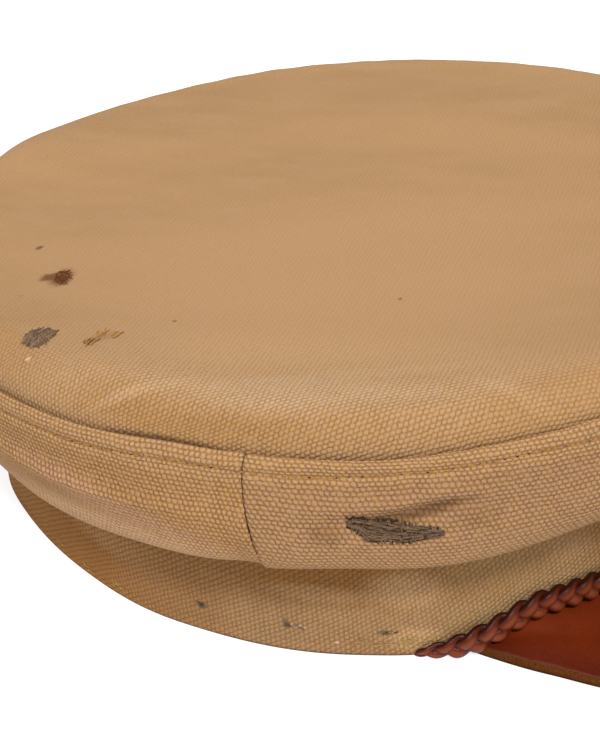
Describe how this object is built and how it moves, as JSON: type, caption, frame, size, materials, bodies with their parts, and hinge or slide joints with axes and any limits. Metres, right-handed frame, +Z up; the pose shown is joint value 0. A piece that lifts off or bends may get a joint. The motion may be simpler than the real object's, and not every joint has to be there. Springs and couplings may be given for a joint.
{
  "type": "sailor cap",
  "caption": "Soft canvas cap with a wide flat round crown, a folded side wall, a narrow head band, a leather peak and a plaited leather strap, worn on the head.",
  "frame": {"origin": "on the floor under the middle of the whole cap", "axes": "+Z up, -Y towards the peak, +X towards the wearer's left"},
  "size_m": [0.2374, 0.2752, 0.0948],
  "materials": {
    "canvas": "matte worn duck canvas",
    "band_canvas": "matte worn duck canvas",
    "peak_leather": "polished smooth leather",
    "plait_leather": "satin plaited leather"
  },
  "bodies": {
    "root": {"crown_top": "canvas", "wall_front": "canvas", "wall_back": "canvas", "head_band": "band_canvas", "visor": "peak_leather", "braid_strap": "plait_leather"}
  },
  "joints": []
}
